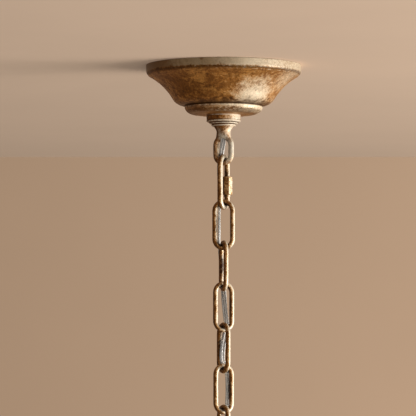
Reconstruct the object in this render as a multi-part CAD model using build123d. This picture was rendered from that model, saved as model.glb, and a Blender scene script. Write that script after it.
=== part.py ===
from build123d import *
import math
import os

# Suspension of a chandelier: ceiling canopy, collar loop, quick link, chain and the cord woven down it.
# Millimetres. The origin is on the ceiling, at the centre of the canopy's rim, +Z up, the viewer at -Y.
# All of the part hangs below z = 0.

# Canopy, a cast bowl open at the ceiling
rim_radius = 75.0
rim_band_height = 6.6
rim_step_depth = 3.2
rim_step_width = 3.0
canopy_height = 48.2
canopy_wall = 2.0
shoulder_radius = 48.5
shoulder_height = 15.0
flare_hollow = 1.6
crown_radius = 38.5
crown_height = 7.6
crown_bulge = 1.0
groove_radius = 35.0
groove_height = 5.7
bead_size = 0.9
bead_height = 4.4
dish_radius = 22.0
dish_bulge = 0.55
canopy_hole_clearance = 1.0

# Seating ring that screws up the collar and holds the canopy
ring_radius = 16.4
ring_drum_height = 4.9
ring_bead_bulge = 0.2
ring_bead_height = 2.0
ring_tier_radius = 13.9
ring_tier_height = 2.0
ring_foot_radius = 11.8
ring_foot_height = 2.0
ring_bore_clearance = 0.05

# Collar loop: threaded hub, waisted neck and closed loop in one casting
hub_radius = 10.5
hub_above_seat = 10.2
hub_below_ring = 0.4
neck_radius = 6.7
neck_length = 9.4
neck_lip_radius = 9.5
loop_wire = 5.4
loop_bend_radius = 7.7
loop_top_depth = 77.3
loop_straight = 9.4
loop_turn = -20.0
cord_bore = 6.4
thread_clearance = 0.05

# Quick link and its hexagon sleeve nut
quick_wire = 5.2
quick_bend_radius = 7.5
quick_length = 53.6
quick_turn = 63.0
quick_gap = 5.4
quick_gap_below_top = 28.0
quick_thread_below_gap = 5.1
quick_shoulder_wire = 6.2
quick_shoulder_length = 2.0
sleeve_across_flats = 9.0
sleeve_length = 17.4
sleeve_chamfer = 0.7
sleeve_clearance = 0.05

# Chain
link_wire = 4.76
link_width = 22.0
link_pitch = 39.5
link_turns = (-8.0, -75.0, 25.0, -61.0, 29.0, -61.0)
hang_gap = 0.2

# Loop at the lower end, with the bore for the stem of the chandelier
end_wire = 5.0
end_bend_radius = 8.0
end_straight = 5.0
end_turn = 29.0
end_neck_radius = 6.6
end_neck_length = 5.0
end_hub_radius = 9.0
end_hub_height = 15.0
end_thread_depth = 12.0

# Strap across the outlet box, with the hollow tube that carries everything
strap_width = 20.0
strap_thickness = 2.5
strap_drop = 24.5
strap_leg_x = 30.0
strap_foot_x = 54.0
strap_bend = 3.0
screw_spacing = 88.9
screw_slot_length = 12.0
screw_slot_width = 4.8
tube_diameter = 10.0
tube_bore = 7.2
tube_above_nut = 1.0
tube_in_hub = 12.0
nut_across_flats = 14.0
nut_height = 3.0
earth_x = 18.0
earth_shank = 4.0
earth_head = 8.0
earth_head_height = 2.4
earth_length = 7.0
earth_clearance = 0.05

# Leads and the caps on their joints
lead_diameter = 2.4
lead_from_middle = 1.3
lead_bend_radius = 8.5
lead_rise = 3.5
cap_mouth = 11.0
cap_skirt = 9.0
cap_tip = 8.2
cap_length = 20.0

# Flat twin cord, drawn as a plain tube of its own thickness
cord_thickness = 2.7

# Flats that stand for the curves: round a wire, in its half turn, round and along the turned pieces
wire_sides = 12
wire_steps = 8
cord_sides = 8
canopy_sides = 68
ring_sides = 44
hub_sides = 36
curve_steps = 3

os.makedirs("parts", exist_ok=True)


def save(node, shape):
    export_step(shape, "parts/" + node + ".step")


def turned(shape, angle):
    return Rot(0, 0, angle) * shape


def spun(outline, sides):
    """A turned piece: its (radius, height) outline carried round a regular polygon of many sides."""
    outline = [Vector(*point) for point in outline]
    reach = max(point.X for point in outline)
    shrink = math.cos(math.pi / sides)
    path_points = [(reach * shrink, 0)]
    for corner in range(sides):
        angle = 2 * math.pi * (corner + 0.5) / sides
        path_points.append((reach * math.cos(angle), reach * math.sin(angle)))
    section = [(point.X * shrink, point.Y) for point in outline]
    face = make_face(Plane.XZ * Polyline(*section, close=True))
    return sweep(face, path=Polyline(*path_points, close=True), transition=Transition.RIGHT)


def cylinder(radius, top, bottom, x=0.0, y=0.0):
    return Pos(x, y, (top + bottom) / 2) * Cylinder(radius, top - bottom)


def hexagon(across_flats, top, bottom):
    outline = RegularPolygon(across_flats / 2, 6, major_radius=False)
    return Pos(0, 0, bottom) * extrude(outline, top - bottom)


def chords(curve, steps):
    """Points on a curve, evenly spaced, with both of its ends."""
    return [curve @ (step / steps) for step in range(steps + 1)]


def oval_loop(diameter, bend_radius, straight, top_centre):
    """A closed oval of round wire in the XZ plane, whose upper bend is centred at top_centre."""
    points = [(bend_radius, 0, -straight / 2)]
    for lift, first in ((0, 0), (-straight, 180)):
        for step in range(wire_steps + 1):
            angle = math.radians(first + 180 * step / wire_steps)
            points.append((bend_radius * math.cos(angle), 0, lift + bend_radius * math.sin(angle)))
    start = Plane(points[0], x_dir=(1, 0, 0), z_dir=(0, 0, 1))
    section = start * RegularPolygon(diameter / 2, wire_sides)
    whole = sweep(section, path=Polyline(*points, close=True), transition=Transition.RIGHT)
    return Pos(0, 0, top_centre) * whole


def tube(node, points, diameter, sides):
    """A tube along straight runs joined by tangent arcs, with its radii and volume printed."""
    radii = []
    for a, b, c in zip(points, points[1:], points[2:]):
        run_in = Vector(*b) - Vector(*a)
        run_out = Vector(*c) - Vector(*b)
        half_turn = math.radians(run_in.get_angle(run_out)) / 2
        radii.append(0.45 * min(run_in.length, run_out.length) / math.tan(half_turn))
    route = FilletPolyline(*points, radius=radii)
    corners = [route @ 0]
    for edge in route.edges().filter_by(GeomType.CIRCLE).sort_by(route):
        turn = (edge % 0).get_angle(edge % 1)
        stops = chords(edge, max(1, round(turn / 12)))
        if (stops[0] - corners[-1]).length > (stops[-1] - corners[-1]).length:
            stops.reverse()
        corners += stops
    corners.append(route @ 1)
    section = Plane(route @ 0, z_dir=route % 0) * RegularPolygon(diameter / 2, sides)
    solid = sweep(section, path=Polyline(*corners), transition=Transition.RIGHT)
    share = solid.volume / (section.area * route.length)
    print(node, "radii", [round(r) for r in radii], "volume over section x length", round(share, 4))
    return solid


# Heights that the pieces share
strap_top = -strap_drop + strap_thickness
tube_top = strap_top + nut_height + tube_above_nut
seat = -canopy_height
hub_top = seat + hub_above_seat
ring_height = ring_drum_height + ring_bead_height + ring_tier_height + ring_foot_height
ring_bottom = seat - ring_height
hub_bottom = ring_bottom - hub_below_ring
tube_bottom = hub_top - tube_in_hub
loop_bottom_centre = -loop_top_depth - loop_straight
loop_low_wire = loop_bottom_centre - loop_bend_radius
quick_high_wire = loop_low_wire + loop_wire / 2 + quick_wire / 2 + hang_gap
quick_low_wire = quick_high_wire - quick_length + quick_wire
link_radius = (link_width - link_wire) / 2
link_straight = link_pitch + link_wire + hang_gap - 2 * link_radius
first_high_wire = quick_low_wire + quick_wire / 2 + link_wire / 2 + hang_gap
last_low_wire = first_high_wire - link_wire - hang_gap - len(link_turns) * link_pitch
end_high_wire = last_low_wire + link_wire / 2 + end_wire / 2 + hang_gap


# Canopy: rim band, hollow flare, round crown, groove, bead and dished bottom
flare_top = (rim_radius - rim_step_width, -rim_band_height - rim_step_depth)
flare_bottom = (shoulder_radius, seat + shoulder_height)
crown_end = (crown_radius, seat + crown_height)
bead_middle = seat + bead_height
bead_bottom = (groove_radius, bead_middle - bead_size)
hole_radius = hub_radius + canopy_hole_clearance
flare = SagittaArc(flare_top, flare_bottom, -flare_hollow)
crown = SagittaArc(flare_bottom, crown_end, crown_bulge)
dish = SagittaArc(bead_bottom, (dish_radius, seat), dish_bulge)
canopy_outline = [
    (rim_radius, 0),
    (rim_radius, -rim_band_height),
    *chords(flare, curve_steps),
    *chords(crown, curve_steps)[1:],
    (groove_radius, seat + groove_height),
    (groove_radius + bead_size, bead_middle + bead_size * 0.4),
    (groove_radius + bead_size, bead_middle - bead_size * 0.4),
    *chords(dish, 2),
    (hole_radius, seat),
    (hole_radius, seat + canopy_wall),
    (dish_radius, seat + canopy_wall),
    (groove_radius - canopy_wall, seat + groove_height),
    (shoulder_radius - canopy_wall, seat + shoulder_height + canopy_wall * 0.6),
    (rim_radius - rim_step_width - canopy_wall, -rim_band_height - rim_step_depth + canopy_wall * 1.4),
    (rim_radius - canopy_wall, 0),
]
canopy = spun(canopy_outline, canopy_sides)
save("canopy", canopy)

# Seating ring: drum with a bead at its foot, then two smaller tiers
ring_bore = hub_radius + ring_bore_clearance
drum_low = seat - ring_drum_height
bead_low = drum_low - ring_bead_height
tier_low = bead_low - ring_tier_height
ring_outline = [
    (ring_bore - 1, seat),
    (ring_radius, seat),
    (ring_radius, drum_low),
    (ring_radius + ring_bead_bulge, drum_low - ring_bead_height * 0.5),
    (ring_radius - ring_bead_height * 0.5, bead_low),
    (ring_tier_radius - 0.6, bead_low - 0.3),
    (ring_tier_radius, bead_low - ring_tier_height * 0.5),
    (ring_foot_radius, tier_low),
    (ring_foot_radius, tier_low - ring_foot_height * 0.6),
    (ring_bore + 0.5, ring_bottom),
    (ring_bore - 1, ring_bottom),
]
seating_ring = spun(ring_outline, ring_sides)
seating_ring -= cylinder(ring_bore, seat + 1, ring_bottom - 1)
save("seating_ring", seating_ring)

# Collar loop: hub, neck and loop, bored for the tube and the cord
loop_shoulder = -loop_top_depth + loop_bend_radius
neck_foot = (neck_radius + neck_length * 0.16, hub_bottom - neck_length)
neck_middle = (neck_radius, hub_bottom - neck_length * 0.56)
neck = ThreePointArc((neck_lip_radius, hub_bottom), neck_middle, neck_foot)
core_radius = cord_bore / 2 - 1
hub_outline = [
    (core_radius, hub_top),
    (hub_radius, hub_top),
    (hub_radius, hub_bottom),
    *chords(neck, curve_steps + 1),
    (neck_radius - loop_wire * 0.3, loop_shoulder - loop_wire / 2),
    (core_radius, loop_shoulder - loop_wire / 2),
]
collar_loop = spun(hub_outline, hub_sides)
collar_loop += turned(oval_loop(loop_wire, loop_bend_radius, loop_straight, -loop_top_depth), loop_turn)
collar_loop -= cylinder(tube_diameter / 2 + thread_clearance, hub_top, tube_bottom - 2.0)
collar_loop -= cylinder(cord_bore / 2, hub_top, -loop_top_depth)
save("collar_loop", collar_loop)

# Quick link: an oval of wire, cut open on one side under the sleeve
quick_top_centre = quick_high_wire - quick_bend_radius
quick_straight = quick_length - quick_wire - 2 * quick_bend_radius
quick_high_face = quick_high_wire + quick_wire / 2
gap_top = quick_high_face - quick_gap_below_top
gap_bottom = gap_top - quick_gap
sleeve_bottom = gap_bottom - quick_thread_below_gap
quick_shoulder_top = sleeve_bottom - sleeve_clearance
quick_link = oval_loop(quick_wire, quick_bend_radius, quick_straight, quick_top_centre)
quick_link -= Pos(quick_bend_radius, 0, (gap_top + gap_bottom) / 2) * Box(2 * quick_wire, 2 * quick_wire, quick_gap)
shoulder_outline = RegularPolygon(quick_shoulder_wire / 2, wire_sides)
shoulder_place = Pos(quick_bend_radius, 0, quick_shoulder_top - quick_shoulder_length)
quick_link += shoulder_place * extrude(shoulder_outline, quick_shoulder_length)
save("quick_link", turned(quick_link, quick_turn))

sleeve = hexagon(sleeve_across_flats, sleeve_bottom + sleeve_length, sleeve_bottom)
sleeve = chamfer(sleeve.edges().filter_by(Axis.Z, reverse=True), sleeve_chamfer / 2, sleeve_chamfer)
bore_outline = RegularPolygon((quick_wire / 2 + sleeve_clearance) / math.cos(math.pi / wire_sides), wire_sides)
sleeve -= Pos(0, 0, sleeve_bottom - 1) * extrude(bore_outline, sleeve_length + 2)
save("quick_link_nut", turned(Pos(quick_bend_radius, 0, 0) * sleeve, quick_turn))

# Chain links, each turned as it hangs
for number, turn in enumerate(link_turns):
    top_centre = first_high_wire - number * link_pitch - link_radius
    link = oval_loop(link_wire, link_radius, link_straight, top_centre)
    save("chain_link_" + str(number + 1), turned(link, turn))

# Fixture loop: the same kind of loop the other way up, over a threaded hub
end_top_centre = end_high_wire - end_bend_radius
end_low_wire = end_top_centre - end_straight - end_bend_radius
end_neck_top = end_low_wire + end_wire / 2
end_hub_top = end_low_wire - end_neck_length
end_hub_bottom = end_hub_top - end_hub_height
end_outline = [
    (core_radius, end_neck_top),
    (end_neck_radius * 0.7, end_neck_top),
    (end_neck_radius, end_low_wire),
    (end_neck_radius, end_hub_top + end_neck_length * 0.4),
    (end_hub_radius, end_hub_top),
    (end_hub_radius, end_hub_bottom),
    (core_radius, end_hub_bottom),
]
fixture_loop = spun(end_outline, hub_sides)
fixture_loop += turned(oval_loop(end_wire, end_bend_radius, end_straight, end_top_centre), end_turn)
fixture_loop -= cylinder(cord_bore / 2, end_neck_top + 1, end_hub_bottom)
fixture_loop -= cylinder(tube_diameter / 2, end_hub_bottom + end_thread_depth, end_hub_bottom)
save("fixture_loop", fixture_loop)

# Strap: a hat-shaped bracket bent from flat bar, with slots for the ceiling screws
half_thick = strap_thickness / 2
with BuildLine() as strap_line:
    FilletPolyline(
        (-strap_foot_x, -half_thick),
        (-strap_leg_x, -half_thick),
        (-strap_leg_x, -strap_drop + half_thick),
        (strap_leg_x, -strap_drop + half_thick),
        (strap_leg_x, -half_thick),
        (strap_foot_x, -half_thick),
        radius=strap_bend,
    )
strap_profile = Plane.XZ * trace(strap_line.line, strap_thickness)
ceiling_bracket = extrude(strap_profile, strap_width / 2, both=True)
slot = SlotCenterToCenter(screw_slot_length - screw_slot_width, screw_slot_width)
for side in (-1, 1):
    ceiling_bracket -= Pos(side * screw_spacing / 2, 0, 0) * extrude(slot, 2 * strap_thickness, both=True)
ceiling_bracket -= cylinder(tube_diameter / 2 + thread_clearance, 0, -strap_drop - 1)
ceiling_bracket -= cylinder(earth_shank / 2 + earth_clearance, 0, -strap_drop - 1, -earth_x)
save("ceiling_bracket", ceiling_bracket)

threaded_tube = cylinder(tube_diameter / 2, tube_top, tube_bottom)
threaded_tube -= cylinder(tube_bore / 2, tube_top, tube_bottom)
save("threaded_nipple", threaded_tube)

nut_bore = tube_diameter / 2 + thread_clearance
upper_nut = hexagon(nut_across_flats, strap_top + nut_height, strap_top)
save("upper_lock_nut", upper_nut - cylinder(nut_bore, strap_top + nut_height, strap_top))
lower_nut = hexagon(nut_across_flats, -strap_drop, -strap_drop - nut_height)
save("lower_lock_nut", lower_nut - cylinder(nut_bore, -strap_drop, -strap_drop - nut_height))

earth_screw = cylinder(earth_shank / 2, strap_top, strap_top - earth_length, -earth_x)
earth_screw += Pos(-earth_x, 0, 0) * hexagon(earth_head * 0.87, strap_top + earth_head_height, strap_top)
save("earth_screw", earth_screw)

# Leads: each rises from the tube, turns over and comes down into its cap
bend_reach = lead_bend_radius * math.tan(math.radians(22.5))
lead_far = lead_from_middle + 2 * lead_bend_radius
lead_top = tube_top + lead_rise + lead_bend_radius
cap_top = tube_top
for node, side in (("live", 1), ("neutral", -1)):
    lead_points = [
        (0, side * lead_from_middle, tube_top),
        (0, side * lead_from_middle, lead_top - lead_bend_radius + bend_reach),
        (0, side * (lead_from_middle + lead_bend_radius - bend_reach), lead_top),
        (0, side * (lead_far - lead_bend_radius + bend_reach), lead_top),
        (0, side * lead_far, lead_top - lead_bend_radius + bend_reach),
        (0, side * lead_far, cap_top),
    ]
    save("lead_" + node, tube("lead_" + node, lead_points, lead_diameter, 8))
    place = Pos(0, side * lead_far, cap_top)
    cap = place * extrude(RegularPolygon(cap_mouth / 2, 12), -cap_skirt)
    cap += place * extrude(RegularPolygon(cap_tip / 2, 12), -cap_length)
    save("connector_" + node, cap)

# Cord: down the tube and the collar, behind the loop's foot, then woven from link to link
cord_route = [
    (0, 0, tube_top),
    (0, 0, -38),
    (0.6, -0.5, -55),
    (-0.1, -0.3, -68),
    (-0.9, 1.2, -77.5),
    (-2.3, 5.5, -86),
    (-3.6, 6.9, -94.4),
    (-4.2, 6.2, -105),
    (-4.0, 5.3, -116),
    (-4.3, 5.2, -127),
    (-3.9, 6.1, -137),
    (-4.4, 5.4, -148),
    (-4.2, 6.7, -159),
    (-4.4, 10.4, -169.5),
    (-3.7, 13.3, -180),
    (-3.1, 13.8, -190.5),
    (-1.8, 13.4, -201),
    (-0.5, 11.9, -211.5),
    (0.2, 8.4, -220.5),
    (0.6, 5.8, -230),
    (1.7, 5.8, -241),
    (3.3, 7.7, -251.5),
    (1.0, 4.8, -261),
    (-0.6, 2.7, -270),
    (-1.4, 2.6, -278.5),
    (-1.4, 3.9, -285.5),
    (2.5, 6.6, -292),
    (3.5, 6.6, -299),
    (3.8, 5.9, -307.5),
    (3.7, 6.0, -318),
    (3.3, 7.1, -330),
    (3.2, 6.2, -341),
    (2.5, 5.7, -352),
    (2.7, 5.9, -363),
    (2.5, 7.2, -373),
    (0.6, 3.1, -382),
    (0.0, 0.3, -390),
    (0.0, 0.0, -397),
]
# Runs in whose middle one length of cord ends and the next begins: halfway down each link
cord_joins = (7, 11, 15, 19, 23, 28, 31)
length_points = [cord_route[0]]
number = 1
for index, point in enumerate(cord_route[1:], 1):
    if index - 1 in cord_joins:
        before = cord_route[index - 1]
        middle = tuple((p + q) / 2 for p, q in zip(before, point))
        length_points.append(middle)
        node = "cord_length_" + str(number)
        save(node, tube(node, length_points, cord_thickness, cord_sides))
        length_points = [middle]
        number += 1
    length_points.append(point)
node = "cord_length_" + str(number)
save(node, tube(node, length_points, cord_thickness, cord_sides))
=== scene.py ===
import math

import bmesh
import bpy
from bpy.props import FloatProperty, FloatVectorProperty, PointerProperty
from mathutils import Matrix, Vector, noise


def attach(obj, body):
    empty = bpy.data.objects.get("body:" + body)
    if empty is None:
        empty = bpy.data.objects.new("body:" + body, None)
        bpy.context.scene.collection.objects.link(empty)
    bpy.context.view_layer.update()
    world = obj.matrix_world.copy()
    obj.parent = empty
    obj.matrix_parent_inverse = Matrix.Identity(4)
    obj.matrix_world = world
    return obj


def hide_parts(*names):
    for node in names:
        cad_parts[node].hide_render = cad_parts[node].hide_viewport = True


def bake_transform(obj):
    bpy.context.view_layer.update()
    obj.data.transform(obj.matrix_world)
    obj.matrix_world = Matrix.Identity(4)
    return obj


bl_info = {
    "name": "Chandelier suspension",
    "version": (1, 0, 0),
    "blender": (4, 5, 0),
    "location": "View3D > Sidebar > Suspension",
    "description": "Ceiling canopy, collar loop, quick link, chain and the clear cord woven down it",
    "category": "Object",
}

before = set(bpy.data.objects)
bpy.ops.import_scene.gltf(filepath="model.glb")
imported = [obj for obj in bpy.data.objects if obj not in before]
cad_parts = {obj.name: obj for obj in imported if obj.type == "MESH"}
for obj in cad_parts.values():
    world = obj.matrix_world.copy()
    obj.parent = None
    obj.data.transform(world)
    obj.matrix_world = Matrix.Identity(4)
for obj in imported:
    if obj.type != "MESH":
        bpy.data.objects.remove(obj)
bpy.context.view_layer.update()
MM = 0.001


def length(name, description, millimetres):
    return FloatProperty(name=name, description=description, default=millimetres * MM, unit="LENGTH", precision=5)


def colour(name, description, red, green, blue):
    """A colour property, from the 0 to 255 values that a screen shows."""
    linear = []
    for value in (red, green, blue):
        v = value / 255
        linear.append(v / 12.92 if v <= 0.04045 else ((v + 0.055) / 1.055) ** 2.4)
    return FloatVectorProperty(name=name, description=description, subtype="COLOR", size=3, default=linear,
                               min=0.0, max=1.0)


class SuspensionSizes(bpy.types.PropertyGroup):
    rim_radius: length("Rim radius", "Radius of the canopy at the ceiling", 74.9)
    band_height: length("Rim band", "Height of the pale band round the canopy's rim", 8.3)
    canopy_height: length("Canopy height", "From the ceiling to the canopy's bottom", 48.2)
    ring_radius: length("Ring radius", "Radius of the seating ring's drum", 16.4)
    hub_radius: length("Collar radius", "Radius of the collar's outer thread", 10.5)
    neck_radius: length("Neck radius", "Radius of the collar's waist", 6.7)
    loop_wire: length("Loop wire", "Thickness of the collar loop's bar", 5.4)
    quick_wire: length("Quick link wire", "Thickness of the quick link's bar", 5.2)
    sleeve_flats: length("Sleeve nut", "Across the flats of the quick link's nut", 9.0)
    link_wire: length("Chain wire", "Thickness of a chain link's wire", 4.76)
    link_width: length("Link width", "Outside width of a chain link", 22.0)
    cord_width: length("Cord width", "Broad side of the flat twin cord", 5.2)
    cord_thickness: length("Cord thickness", "Narrow side of the flat twin cord", 2.7)


class SuspensionFinishes(bpy.types.PropertyGroup):
    # Umber also paints shade: inside the chain's bends and on the sides away from the key light.
    umber: colour("Umber", "Dark wax in the hollows of the gilding", 58, 32, 8)
    # Brown also paints the shade at the left end of the rim band.
    brown: colour("Brown", "Brown ground of the gilding", 152, 100, 44)
    gold: colour("Gold", "Old gold of the gilding", 214, 158, 84)
    # Cream also paints the key light's highlight on the canopy's front right, band and bead.
    cream: colour("Cream", "Gilding rubbed down to its pale ground", 246, 228, 198)
    # White gold also paints highlights on the sides of wire and loops that face the key light.
    white: colour("White gold", "Wire and loops where cloth has rubbed them bright", 242, 230, 208)
    band: colour("Rim band", "Stone-grey of the band round the rim", 192, 160, 120)
    chain: colour("Chain brown", "Brown wash over the chain", 126, 84, 38)
    leaf: colour("Chain leaf", "Pale leaf on the chain and quick link", 212, 178, 128)
    sleeve: colour("Cord sleeve", "Clear sleeve of the cord", 254, 246, 238)
    core: colour("Conductor", "Stranded wire in the cord", 84, 74, 76)
    zinc: colour("Zinc", "Plating of the hidden steel", 176, 180, 178)
    earth: colour("Earth screw", "Green of the earth screw", 34, 120, 60)
    cap: colour("Twist cap", "Plastic of the caps on the joined wires", 222, 120, 40)
    ceiling: colour("Ceiling", "Ceiling and floor of the stage", 232, 202, 176)
    wall: colour("Wall", "Wall of the stage", 204, 172, 144)


def sizes():
    return bpy.context.scene.suspension_sizes


def finishes():
    return bpy.context.scene.suspension_finishes


# Shader sums


class Nodes:
    """The nodes of one finish. make() adds any node and gives one of its outputs, which takes part in Python sums."""

    def __init__(self, name, owner=None):
        self.owner = owner or bpy.data.materials.new(name)
        self.owner.use_nodes = True
        self.tree = self.owner.node_tree
        self.tree.nodes.clear()

    def make(self, kind, settings=None, inputs=None, output=0):
        node = self.tree.nodes.new(kind)
        for key, value in (settings or {}).items():
            setattr(node, key, value)
        for key, value in (inputs or {}).items():
            if isinstance(value, Shade):
                self.tree.links.new(value.socket, node.inputs[key])
            else:
                node.inputs[key].default_value = value
        return Shade(self, node.outputs[output] if len(node.outputs) else None)

    def noise(self, spot, scale, detail=4.0, roughness=0.55, distortion=0.0):
        return self.make("ShaderNodeTexNoise", {"noise_dimensions": "3D"}, {
            "Vector": spot, "Scale": scale, "Detail": detail, "Roughness": roughness, "Distortion": distortion})

    def lines(self, spot, scale, detail, distortion):
        """The distance from a network of fine creeping lines: 0 on a line."""
        return self.make("ShaderNodeMath", {"operation": "ABSOLUTE"},
                         {0: self.noise(spot, scale, detail, 0.6, distortion) - 0.5})

    def parts(self, vector):
        """The X, Y and Z of a vector."""
        node = self.make("ShaderNodeSeparateXYZ", None, {"Vector": vector}).socket.node
        return [Shade(self, node.outputs[axis]) for axis in "XYZ"]

    def mixed(self, factor, first, second):
        """Colour first where factor is 0, second where it is 1."""
        return self.make("ShaderNodeMix", {"data_type": "RGBA"}, {0: factor, 6: first, 7: second}, 2)

    def surface(self, inputs):
        skin = self.make("ShaderNodeBsdfPrincipled", None, inputs)
        self.make("ShaderNodeOutputMaterial", None, {"Surface": skin})
        return self.owner


class Shade:
    """An output of a node. Sums on it add Math nodes."""

    def __init__(self, nodes, socket):
        self.nodes = nodes
        self.socket = socket

    def _math(self, operation, first, second=0.0):
        return self.nodes.make("ShaderNodeMath", {"operation": operation}, {0: first, 1: second})

    def __add__(self, other):
        return self._math("ADD", self, other)

    def __radd__(self, other):
        return self._math("ADD", other, self)

    def __sub__(self, other):
        return self._math("SUBTRACT", self, other)

    def __rsub__(self, other):
        return self._math("SUBTRACT", other, self)

    def __mul__(self, other):
        return self._math("MULTIPLY", self, other)

    def larger(self, other):
        return self._math("MAXIMUM", self, other)

    def sine(self):
        return self._math("SINE", self)

    def step(self, low, high):
        """0 below low and 1 above high, with a soft passage between them."""
        return self.nodes.make("ShaderNodeMapRange", {"interpolation_type": "SMOOTHSTEP"},
                               {"Value": self, "From Min": low, "From Max": high})


def lit_side_paint(n, amount):
    """Painted light and shade: how far the surface faces the key light, by the object's own normal, times amount. It
    makes the side towards the light paler, with more leaf and less wax, and the far side darker.
    """
    facing = n.make("ShaderNodeTexCoord", output="Normal")
    return n.make("ShaderNodeVectorMath", {"operation": "DOT_PRODUCT"}, {0: facing, 1: (0.98, 0.05, 0.15)},
                  "Value") * amount


def rgba(value):
    return (value[0], value[1], value[2], 1.0)


def begun(name):
    """The palette, the nodes of a new finish, and the spot on the object that its noises read."""
    n = Nodes(name)
    return finishes(), n, n.make("ShaderNodeTexCoord", output="Object")


def banded(n, spot, noises, shade, rub_and_highlight):
    """The canopy's own marks: rim band, dark line under it, fine network, dark brow over the groove, bead and dish. The
    band and the bead are painted paler towards the right, where the key light falls, and the band is painted brown at
    its far left as shade.
    """
    c = finishes()
    clouds, blotch, mottle = [value - 0.5 for value in noises]
    across, _, height = n.parts(spot)

    def ragged(blotches, mottling):
        """The height, wavering by so many millimetres of each noise, for edges that run unevenly."""
        return height + blotch * (blotches * MM) + mottle * (mottling * MM)

    def towards(value, low, high):
        """0 at the low edge and 1 at the high edge, in millimetres."""
        return value.step(low * MM, high * MM)

    # Painted light: the band and the bead grow paler towards the right, where the key light falls.
    lit_right = towards(across + clouds * (60 * MM), -30, 40)
    # Painted shade: the band goes brown at its far left, away from the key light; it joins the random brown scuffs.
    shaded_left = towards(across + blotch * (50 * MM), -32, -60) * 0.9
    scuffs_and_shade = (((blotch + mottle) * 0.5 + 0.5).step(0.47, 0.36) * (0.7 - lit_right * 0.45)).larger(shaded_left)
    stone = n.mixed(lit_right * 0.7, rgba(c.band), rgba(c.cream))
    stone = n.mixed(scuffs_and_shade, stone, rgba([v * 0.85 for v in c.brown]))
    rim = towards(ragged(3.0, 3.0), -7.3, -6.7)
    shade = n.mixed(rim, shade, stone)
    edge = ragged(2.5, 2.0)
    # The bead's pale rub, made stronger on the right as a painted highlight.
    bead_wear_and_highlight = towards(edge, -44.4, -42.9) * towards(edge, -39.9, -40.7) * (0.1 + lit_right * 0.75)
    shade = n.mixed(bead_wear_and_highlight, shade, rgba(c.cream))
    network = n.lines(spot, 330.0, 3.0, 1.6).step(0.07, 0.01)
    shade = n.mixed(network * towards(across + clouds * (50 * MM), 20, 60) * 0.65, shade, rgba(c.brown))
    under = towards(ragged(0.0, 3.0), -6.3, -8.2) * towards(ragged(5.0, 0.0), -10.8, -8.6) * 0.7
    dish = towards(edge, -43.2, -44.6) * towards(edge, -48.6, -47.2) * (0.45 + blotch * 1.5)
    brow = towards(ragged(9.0, 5.0), -34.5, -39.5) * towards(height, -40.3, -39.5) * 0.7
    return n.mixed(under.larger(brow.larger(dish)), shade, rgba(c.umber)), rub_and_highlight.larger(rim)


def rubbed_gilt(name, patches, band=False, pale=0.0, lit_side_lean=0.05):
    """Old gilding: umber wax in the hollows, brown and gold leaf, and a pale ground where it is rubbed. Leaf and pale
    ground lean to the side facing the key light and the wax to the far side: painted light and shade.
    """
    c, n, spot = begun(name)
    wear_and_shade = n.make("ShaderNodeAttribute", {"attribute_name": "wear_and_shade"}, output="Fac")
    clouds = n.noise(spot, 38.0, 3.0, 0.5, 0.4)
    blotch = n.noise(spot, 120.0, 5.0, 0.6, 0.8)
    mottle = n.noise(spot, 420.0, 5.0, 0.65, 0.6)
    specks = n.noise(spot, 1100.0, 3.0, 0.6)
    veins = n.lines(spot, 260.0, 5.0, 1.2)
    # Painted light and shade: side grows where the surface faces the key light, and it weighs the leaf, the pale rub
    # and the soot below.
    side = lit_side_paint(n, lit_side_lean)
    leaf = (clouds * 0.25 + blotch * 0.4 + mottle * 0.35 + side).step(0.42, 0.60)
    shade = n.mixed(leaf, rgba(c.brown), rgba(c.gold))
    rub_and_highlight = (blotch * 0.5 + mottle * 0.5 + side * 2.0).step(0.56 - pale, 0.76 - pale) * 0.8
    # Rubbed spots; those on the front and right of the canopy, ring and collar also paint the key light's highlight.
    for centre, reach, strength in patches:
        distance = n.make("ShaderNodeVectorMath", {"operation": "DISTANCE"},
                          {0: spot, 1: [v * MM for v in centre]}, "Value")
        far = distance * (1 / (reach * MM)) + (0.5 - blotch) * 1.8 + (0.5 - mottle) * 1.5
        rub_and_highlight = rub_and_highlight.larger(far.step(1.3, 0.1) * strength)
    # Pale on high edges as wear, and on the side facing the key light as a painted highlight.
    rub_and_highlight = rub_and_highlight.larger((wear_and_shade + (mottle - 0.5) * 0.7 + side * 3.0).step(0.66, 0.86) * 0.8)
    shade = n.mixed(rub_and_highlight, shade, rgba(c.cream if band else c.white))
    if band:
        shade, rub_and_highlight = banded(n, spot, (clouds, blotch, mottle), shade, rub_and_highlight)
    hollow = (wear_and_shade + (mottle - 0.5) * 0.5).step(0.42, 0.24) * 0.8
    # Dark wax in random blotches, more on the side away from the key light as painted shade.
    soot_and_shade = (blotch * 0.4 + mottle * 0.45 + specks * 0.15 + side).step(0.49, 0.35) * 0.7
    threads = veins.step(0.05, 0.0) * (0.5 - rub_and_highlight * 0.3)
    dirt_and_shade = hollow.larger(soot_and_shade * (1.0 - rub_and_highlight * 0.85)).larger(threads)
    shade = n.mixed(dirt_and_shade, shade, rgba(c.umber))
    bump = n.make("ShaderNodeBump", None, {
        "Strength": 0.5, "Distance": 0.0003, "Height": blotch * 0.4 + mottle * 0.45 + specks * 0.15 - dirt_and_shade * 0.2})
    return n.surface({
        "Base Color": shade, "Metallic": 0.7 - rub_and_highlight * 0.6 - dirt_and_shade * 0.4, "Roughness": 0.46 + dirt_and_shade * 0.2,
        "Coat Weight": 0.08 + rub_and_highlight * 0.08, "Coat Roughness": 0.35, "Specular IOR Level": 0.25, "Normal": bump})


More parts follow.
